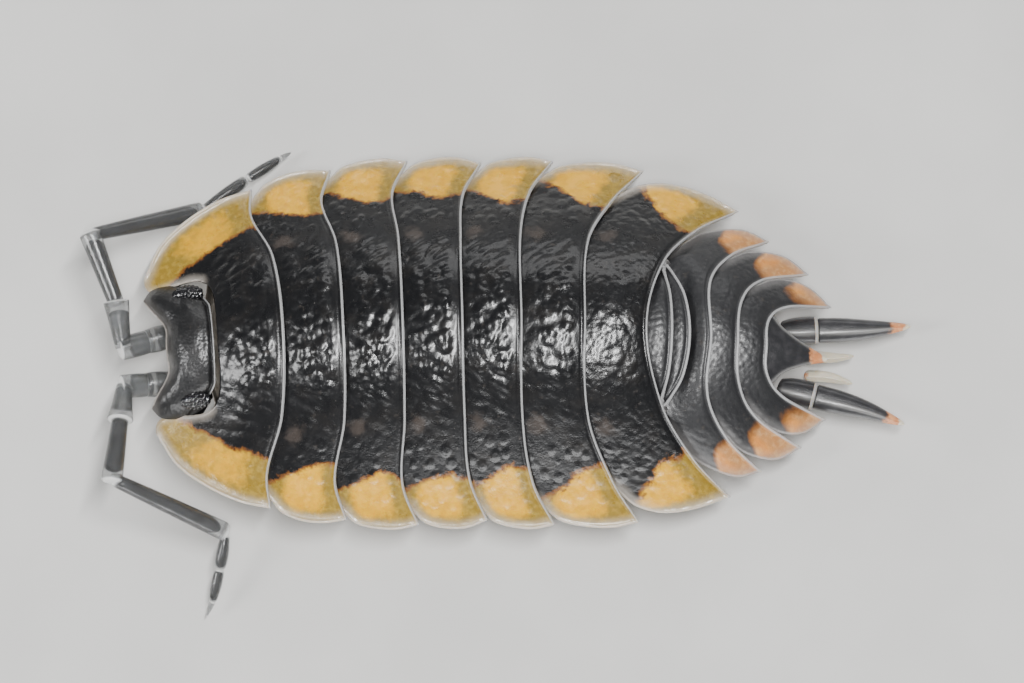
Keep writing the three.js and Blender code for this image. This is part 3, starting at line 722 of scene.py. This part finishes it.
# Thin untanned chitin, clear and hollow: it gives the eye glass tubes with dark cores and white joints.
clear_horn = horn("clear_antenna_chitin", "#c2c4c5", "#aeafae", "#dcdcda", glassy=0.9, mottle_size=0.4)
for name, joints in ANTENNAE.items():
    bm = bmesh.new()
    joints = in_frame(joints)
    for k, (start, end, radii) in enumerate(zip(joints, joints[1:], STEM_RADII)):
        ahead = (end - start) / np.linalg.norm(end - start)
        path = [start - 0.06 * ahead, (start + end) / 2, end + 0.14 * ahead]
        base = k < BASE_ARTICLES
        milky = BASE_MILKINESS if base else MILKINESS
        wall = [(r, r * STEM_FLATNESS) for r in radii]
        horn_tube(bm, path, wall, STEM_GRID, caps=(0.08, 0.06), relief=scales,
                  tint=lambda share: np.maximum(joint_tint(share), milky))
        flesh_share = BASE_FLESH_SHARE if base else FLESH_SHARE
        flesh_tint = BASE_FLESH_TINT if base else FLESH_TINT
        flesh = [(r * flesh_share, r * flesh_share) for r in radii]
        inner_path = [path[0] + 0.12 * ahead, path[1], path[2] - 0.3 * ahead]
        horn_tube(bm, inner_path, flesh, FLESH_GRID, caps=(0.12, 0.2),
                  tint=lambda share: share * 0 + flesh_tint)
    make_piece(f"antenna_stem_{name}", close_tubes("stem", bm), clear_horn, "antenna", f"antenna_{name}")
    bm = bmesh.new()
    joints = in_frame(LASHES[name])
    for k, (start, end, radii) in enumerate(zip(joints, joints[1:], LASH_RADII)):
        path = np.array([start, (start + end) / 2, end])
        horn_tube(bm, path, [(r, r) for r in radii], LASH_GRID, relief=scales, tint=joint_tint)
        if k < 2:
            flesh = [(r * LASH_FLESH_SHARE, r * LASH_FLESH_SHARE) for r in radii]
            horn_tube(bm, path * 0.86 + path[1] * 0.14, flesh, FLESH_GRID, caps=(0.12, 0.12),
                      tint=lambda share: share * 0 + FLESH_TINT)
    make_piece(f"antenna_lash_{name}", close_tubes("lash", bm), clear_horn, "antenna",
               f"antenna_{name}_flagellum")

# The telson closes the back behind the last plate: a dark triangle of chitin with hollow sides, grown
# in one with the last segment, orange before its cream tip.
TELSON_TIP = 9.1
TELSON_TUCK = 0.25
TELSON_THICKNESS = 0.16
TELSON_BEAD = 0.02
TELSON_GRID = (90, 90)
telson_half = through(ALONG, [1.25, 1.02, 0.62, 0.3, 0.07])
telson_front = rear_edge(PLEONITES[-1])


def telson_surface(along, across):
    y = across * telson_half(along)
    start = telson_front(y) - TELSON_TUCK
    x = start + (TELSON_TIP - start) * along
    return bowed(x, y, back_height(x, y * 0.8) - 0.22 * (1 - along) ** 2 - 0.12 * across ** 2)


# Chitin of the tail, thin and drawn out to points. It gives the eye a dull charcoal with lighter
# keels, an orange glow near the end and a cream tip, by the tint along each piece.
CREAM_TIP = "#d8cfba"
PALE_JOINT = "#a9a6a2"
KEEL_GREY = "#82817f"
tail_chitin, tree = start_finish("dark_and_orange_chitin")
tint, ridge = [add_node(tree, "ShaderNodeAttribute", {}, "Fac", attribute_name=measure)
               for measure in ("tint", "ridge")]
ragged_tint = cloudy(tree, 0.2, 4.0, tint, 0.35)
keel = add_node(tree, "ShaderNodeMath", {0: ridge, 1: 0.8}, operation="MULTIPLY")
dark = coat(tree, "#29292b", "#383739", cloudy(tree, 0.3), 0.4, 0.7)
colour = add_node(tree, "ShaderNodeMix", {0: keel, 6: dark, 7: linear(KEEL_GREY)}, 2, data_type="RGBA")
orange = coat(tree, "#c98252", "#dc9f70", cloudy(tree, 0.15), 0.4, 0.7)
for over, level, bare, full in (
        (orange, ragged_tint, 0.6, 0.72),
        (CREAM_TIP, ragged_tint, 0.9, 0.98),
        (PALE_JOINT, tint, 1.3, 1.6)):
    colour = coat(tree, colour, over, level, bare, full)
through_light = add_node(tree, "ShaderNodeMath", {0: tint, 1: 0.3}, operation="MULTIPLY")
finish(tree, [(0.05, 3.0, 0.4, 0.02)], Base_Color=colour, Roughness=0.3, IOR=1.5,
       Subsurface_Weight=through_light, Subsurface_Radius=(0.3, 0.2, 0.1), Subsurface_Scale=0.3 * MM,
       Coat_Weight=0.3, Coat_Roughness=0.2)

mesh, along, across = flat_sheet("telson", *TELSON_GRID)
side_bead = TELSON_BEAD * hill((1 - np.abs(across)) * telson_half(along), 0.03, 0.045)
grain = 0.015 * ripple(along * 1.8, across, 0.25, 9) * (1 - along)
shape_sheet(mesh, telson_surface, along, across, side_bead * (along > 0.1) + grain)
mark(mesh, tint=np.clip((along - 0.35) / 0.62, 0, 1) ** 1.1, ridge=side_bead / TELSON_BEAD)
thicken(make_piece("telson_plate", mesh, tail_chitin, "tail", "telson"), TELSON_THICKNESS)


# The uropods are the tail's two feelers, of the same chitin. A short stalk on each side carries a long
# leaf-shaped branch that stands out behind and, under the telson, a slender pale one.
def stalk_tint(share):
    return np.where(share > 0.9, 1.8, 0.2)


def outer_branch_tint(share):
    return np.clip((share - 0.35) / 0.62, 0, 1) ** 1.2


def inner_branch_tint(share):
    return 0.95 + 0.25 * share


UROPOD = dict(
    protopod=dict(path=[[7.7, 0.86, 0.9], [8.3, 0.94, 0.86], [8.86, 1.02, 0.84]],
                  radii=[(0.26, 0.18), (0.36, 0.24), (0.4, 0.26), (0.4, 0.24)],
                  caps=(0.1, 0.04), tint=stalk_tint),
    exopod=dict(path=[[8.8, 1.0, 0.84], [10.3, 1.22, 0.8], [11.56, 1.5, 0.72]],
                radii=[(0.37, 0.19), (0.35, 0.2), (0.28, 0.17), (0.18, 0.12), (0.05, 0.05)],
                caps=(0.03, 0.06), tint=outer_branch_tint),
    endopod=dict(path=[[8.5, 0.3, 0.42], [9.25, 0.3, 0.48], [9.95, 0.42, 0.5]],
                 radii=[(0.14, 0.12), (0.15, 0.12), (0.11, 0.1), (0.04, 0.04)],
                 caps=(0.1, 0.1), tint=inner_branch_tint))
UROPOD_GRID = (90, 60)
KEEL_HEIGHT = 0.03
TOP_KEEL_ANGLE = 1.25


def keels(share, angle):
    """A raised keel along each edge of a branch and one to each side of its middle."""
    keel = np.maximum(np.cos(angle), 0) ** 24 + np.maximum(-np.cos(angle), 0) ** 24
    for turn in (-TOP_KEEL_ANGLE, TOP_KEEL_ANGLE):
        keel = keel + np.maximum(np.cos(angle + turn), 0) ** 40
    return KEEL_HEIGHT * keel * np.sin(np.pi * np.clip(share, 0, 1)) ** 0.5


def on_side(side, points):
    """Points of the body's right half, put on one side of the bowed body, in millimetres."""
    x, y, z = np.array(points, float).T
    return bowed(x, side * y, z) / MM


for name, side in SIDES.items():
    for part, form in UROPOD.items():
        bm = bmesh.new()
        horn_tube(bm, on_side(side, form["path"]), form["radii"], UROPOD_GRID, caps=form["caps"],
                  relief=keels, tint=form["tint"])
        make_piece(f"{part}_{name}", close_tubes(part, bm), tail_chitin, "tail", f"uropod_{name}_{part}")

# The legs, seven a side, walk under the rim. Each is a chain of hollow articles of thin mottled horn,
# cupped end in end: a thick thigh folded back under the body, three short articles, and a long shin
# that ends in a claw on the floor. Stiff spines stand in rows under them.
#
# Each leg has its root's place along the body, its reach forward or back, its foot's place across,
# and which way its knee points.
LEGS = [(-8.3, -1.35, 3.35, -0.5), (-6.45, -0.85, 4.45, 0.5), (-4.55, -0.45, 4.7, 0.5),
        (-2.75, 0.1, 4.75, -0.5), (-0.95, 0.5, 4.75, -0.5), (0.95, 0.9, 4.6, -0.5),
        (2.95, 1.35, 4.0, -0.5)]
HIP = 2.62
KNEE_FOLD = 1.67
LEG_FLATNESS = 0.8
LEG_RADII = [[0.22, 0.28, 0.25, 0.17], [0.15, 0.24, 0.27, 0.2], [0.15, 0.23, 0.28, 0.22],
             [0.15, 0.22, 0.25, 0.19], [0.14, 0.19, 0.13, 0.04]]
LEG_GRID = (32, 24)
SPINES = 5
SPINE_GRID = (5, 8)
SPINE_RADII = [(0.035, 0.035), (0.02, 0.02), (0.006, 0.006)]
FLOOR_GAP = 0.03
# Thin chitin with brown pigment in clouds: it gives the eye grey-brown mottled legs, pale at the joints.
leg_horn = horn("mottled_leg_chitin", "#a59d92", "#544c46", "#cfc8bc", glassy=0.0, mottle_size=0.16)
for name, side in SIDES.items():
    for number, (root, reach, foot, knee) in enumerate(LEGS, 1):
        spread = foot - HIP
        joints = on_side(side, [
            (root, HIP, 1.7),
            (root + knee, KNEE_FOLD, 1.12),
            (root + 0.12 * reach + 0.25 * knee, HIP + 0.02 * spread, 0.82),
            (root + 0.42 * reach, HIP + 0.42 * spread, 1.0),
            (root + 0.78 * reach, HIP + 0.76 * spread, 0.62),
            (root + reach, HIP + spread, FLOOR_GAP)])
        bm = bmesh.new()
        for k, (start, end, radii) in enumerate(zip(joints, joints[1:], LEG_RADII)):
            wall = [(r, r * LEG_FLATNESS) for r in radii]
            horn_tube(bm, [start, (start + end) / 2, end], wall, LEG_GRID, caps=(0.14, 0.12),
                      relief=scales, tint=joint_tint)
            for spine in range(SPINES if k > 1 else 0):
                at = start + (end - start) * (0.25 + 0.15 * spine)
                down = np.array([0.1 * (spine % 2) - 0.05, -0.1 * side, -0.34 if k < 4 else -0.18])
                if at[2] + down[2] > FLOOR_GAP:
                    horn_tube(bm, [at, at + down * 0.6, at + down], SPINE_RADII, SPINE_GRID, up=(1, 0, 0.2))
        make_piece(f"walking_leg_{name}_{number}", close_tubes("leg", bm), leg_horn, "leg",
                   f"leg_{name}_{number}")

# The belly is one soft skin under the trunk, thickened into seven breast plates with pale grooves of thin
# skin between them; the grooves and the sides under the back plates are painted darker as shade. It is
# grown to the plates above along the hips, where the legs come out.
BELLY_START = -9.3
BELLY_LENGTH = 16.1
BELLY_SPREAD = 1.35
BELLY_GRID = (520, 150)
BREAST_BULGE = 0.2
SHELL_CLEARANCE = 0.4
BELLY_SEAMS = [-11.2, -9.25, -7.38, -5.5, -3.65, -1.85, 0, 1.95, 3.75, 4.6, 5.4, 6.2, 7.0]
belly_height = through([-10, -6, 3, 6, 8, 9], [1.8, 2, 2, 1.75, 1.5, 1.3])
belly_half = through([-9, -7, 3, 5, 7, 9], [2.2, 3, 3, 2.3, 1.5, 1])
SAC_WHITE = "#eeece6"


def soft_skin(name, pale, dull, dark_blotch_and_shade):
    """Untanned skin, soft and a little moist. It gives the eye a cloudy grey with darker blotches, painted
    shade in its grooves and along its sides, a dark gut line where one is marked, and white where air sacs
    show through it."""
    material, tree = start_finish(name)
    fold, sac = [add_node(tree, "ShaderNodeAttribute", {}, "Fac", attribute_name=measure)
                 for measure in ("fold", "sac")]
    colour = dull
    for over, level, bare, full, strength in (
            (pale, cloudy(tree, 0.5, 4.0), 0.35, 0.7, 1.0),
            (dark_blotch_and_shade, cloudy(tree, 0.1, 4.0), 0.58, 0.75, 1.0),
            # This coat paints shade into the grooves and along the sides under the back plates, and darkens
            # the gut line.
            (dark_blotch_and_shade, cloudy(tree, 0.15, 3.0, fold, 0.3), 0.2, 0.85, 0.8),
            (SAC_WHITE, cloudy(tree, 0.12, 4.0, sac, 0.7), 0.35, 0.6, 1.0)):
        colour = coat(tree, colour, over, level, bare, full, strength)
    finish(tree, [(0.07, 3.0, 0.5, 0.03)], Base_Color=colour, Roughness=0.4, Subsurface_Weight=0.25,
           Subsurface_Radius=(0.3, 0.25, 0.2), Subsurface_Scale=0.3 * MM, Coat_Weight=0.2,
           Coat_Roughness=0.25)
    return material


def breast_plates(x):
    """0 in the seams between the breast plates, nearly 1 over the whole plate between them."""
    return np.abs(np.sin(np.pi * np.interp(x, BELLY_SEAMS, np.arange(len(BELLY_SEAMS))))) ** 0.45


def belly_surface(along, across):
    x = BELLY_START + BELLY_LENGTH * along
    round_end = np.sqrt(np.clip(1 - np.clip(1 - along / 0.05, 0, 1) ** 2, 0.2, 1))
    y = across * belly_half(x) * BELLY_SPREAD * round_end
    inside = back_height(x, y) - SHELL_CLEARANCE
    low = belly_height(x) - 0.12 * (1 - across ** 2) - BREAST_BULGE * breast_plates(x) * (1 - across ** 6)
    hip = 0.12 * hill(np.abs(y), 2.0, 0.25)
    return bowed(x, y, low + hip + (inside - low) * smooth(0.66, 1, np.abs(across)))


# Thin untanned skin over grey gut: it gives the eye a dull clouded grey with a dark gut line, and painted
# shade in its grooves and along its sides.
belly_skin = soft_skin("soft_belly_skin", "#a8a094", "#8d867c", "#57514b")
mesh, along, across = flat_sheet("belly", *BELLY_GRID)
x = BELLY_START + BELLY_LENGTH * along
wrinkles = 0.012 * ripple(x * 2.5, across * 3, 0.35, 5) + 0.006 * ripple(x, across * 4, 0.12, 6)
shape_sheet(mesh, belly_surface, along, across, wrinkles)
# Painted shade: the grooves between the breast plates and the sides that rise under the back plates are
# marked dark, along with the real gut line down the middle.
groove_shade_and_gut = np.maximum(1 - breast_plates(x), 0.45 * hill(across, 0, 0.07))
mark(mesh, fold=groove_shade_and_gut + 0.3 * smooth(0.6, 0.9, np.abs(across)), sac=0 * x)
make_piece("belly_skin", mesh, belly_skin, "leg")

# The gill covers are five pairs of thin soft flaps under the tail, hinged at their front edges and
# lapped like tiles. The first two pairs hold the air sacs that the animal breathes with.
GILL_COVERS = 5
FIRST_GILL = 3.75
GILL_SPACING = 0.68
GILL_INNER = 0.1
GILL_OUTER = 1.42
GILL_NARROWING = 0.14
GILL_GRID = (40, 40)
AIR_SACS = [(4.55, 0.28, 0.85, 0.4), (5.23, 0.25, 0.8, 0.35)]
# Skin thin enough for air to pass: it gives the eye a paler grey, with milk-white sacs shining through.
gill_skin = soft_skin("gill_cover_skin", "#b9b3a8", "#99928a", "#655e57")
for name, side in SIDES.items():
    bm = bmesh.new()
    for k in range(GILL_COVERS):
        front, outer = FIRST_GILL + GILL_SPACING * k, GILL_OUTER - GILL_NARROWING * k
        middle, width = (GILL_INNER + outer) / 2, (outer - GILL_INNER) / 2
        course = on_side(side, [(front, middle, 1.2), (front + 0.55, middle, 1.05),
                                (front + 1.1, middle * 0.9, 0.95)])
        radii = [(width * 0.8, 0.07), (width, 0.08), (width * 0.95, 0.06), (width * 0.4, 0.04)]
        horn_tube(bm, course, radii, GILL_GRID, caps=(0.15, 0.3))
    mesh = close_tubes("gills", bm)
    x, y, _ = np.array([vertex.co[:] for vertex in mesh.vertices]).T / MM
    sac = sum(hill(x - ZERO[0], sac_x, long) * hill(np.abs(y - ZERO[1]), sac_y, wide)
              for sac_x, long, sac_y, wide in AIR_SACS)
    mark(mesh, fold=0 * x, sac=sac)
    make_piece(f"gill_covers_{name}", mesh, gill_skin, "leg", f"pleopods_{name}")

# The jaw feet are a flat pair of small limbs of leg horn that closes the mouth from below, each a
# broad plate hinged at the throat with a short pointed feeler at its end.
JAW_FEET = [(((-9.1, 0.28, 1.1), (-9.8, 0.3, 0.98)), [(0.24, 0.12), (0.27, 0.14), (0.24, 0.1)]),
            (((-9.75, 0.3, 1.0), (-10.1, 0.2, 1.15)), [(0.14, 0.08), (0.12, 0.07), (0.04, 0.03)])]
JAW_GRID = (36, 30)
bm = bmesh.new()
for side in SIDES.values():
    for (start, end), radii in JAW_FEET:
        course = on_side(side, [start, (np.array(start) + end) / 2, end])
        horn_tube(bm, course, radii, JAW_GRID, caps=(0.2, 0.25), relief=scales)
make_piece("jaw_feet", close_tubes("jaws", bm), leg_horn, "leg", "mouthparts")

# A plain pale floor under the feet: one sheet of matt paper, wide enough to leave no edge in view.
# It belongs to the stage, not to the part.
FLOOR_SIZE = 2.0
floor_mesh, _, _ = flat_sheet("floor", 2, 2)
floor_mesh.transform(Matrix.Scale(FLOOR_SIZE / 2, 4))
# Matt uncoated paper: it gives the eye an even pale grey with no shine.
pale_paper, tree = start_finish("pale_paper")
finish(tree, [], Base_Color=coat(tree, "#cfcecb", "#d6d5d2", cloudy(tree, 6.0), 0.3, 0.7), Roughness=0.9)
floor_mesh.materials.append(pale_paper)
floor = bpy.data.objects.new("floor", floor_mesh)
bpy.context.scene.collection.objects.link(floor)

# The light of a photographer's tent: one long lamp over the back, three weak broad ones round it, and
# a pale sky. Each lamp has its place and size in millimetres and its watts.
LAMPS = dict(
    key_lamp=((16, -8, 160), (110, 6), 0.36),
    front_lamp=((-130, -30, 90), (30, 60), 0.12),
    left_lamp=((10, -160, 44), (160, 30), 0.14),
    right_lamp=((20, 150, 70), (160, 40), 0.05))
LAMPS_POINT_AT = Vector((0.5, 0.9, 2.0))
SKY = {"Color": linear("#dfe3e8"), "Strength": 0.22}
for name, (place, size, watts) in LAMPS.items():
    light = bpy.data.lights.new(name, "AREA")
    light.shape = "RECTANGLE"
    light.size, light.size_y = size[0] * MM, size[1] * MM
    light.energy = watts
    lamp = bpy.data.objects.new(name, light)
    lamp.location = Vector(place) * MM
    lamp.rotation_euler = (LAMPS_POINT_AT - Vector(place)).to_track_quat("-Z", "Y").to_euler()
    bpy.context.scene.collection.objects.link(lamp)
world = bpy.data.worlds.new("studio")
bpy.context.scene.world = world
world.use_nodes = True
for setting, value in SKY.items():
    world.node_tree.nodes["Background"].inputs[setting].default_value = value

# The camera looks down on the back from the animal's left, almost upright, as in the photograph. It
# stands far off behind a long lens, so that near and far pieces keep their sizes.
FRAME_WIDTH = 30.34
CAMERA_ELEVATION = math.radians(77)
CAMERA_DISTANCE = 170.0
LOOK_AT = Vector((0.48, 0.852, 2.0))
SENSOR_WIDTH = 36
camera_data = bpy.data.cameras.new("camera")
camera_data.sensor_width = SENSOR_WIDTH
camera_data.lens = SENSOR_WIDTH * CAMERA_DISTANCE / FRAME_WIDTH
camera_data.clip_start = 0.005
camera_data.clip_end = 10
camera = bpy.data.objects.new("camera", camera_data)
back = Vector((0, -math.cos(CAMERA_ELEVATION), math.sin(CAMERA_ELEVATION)))
camera.location = (LOOK_AT + back * CAMERA_DISTANCE) * MM
camera.rotation_euler = back.to_track_quat("Z", "Y").to_euler()
bpy.context.scene.collection.objects.link(camera)
bpy.context.scene.camera = camera
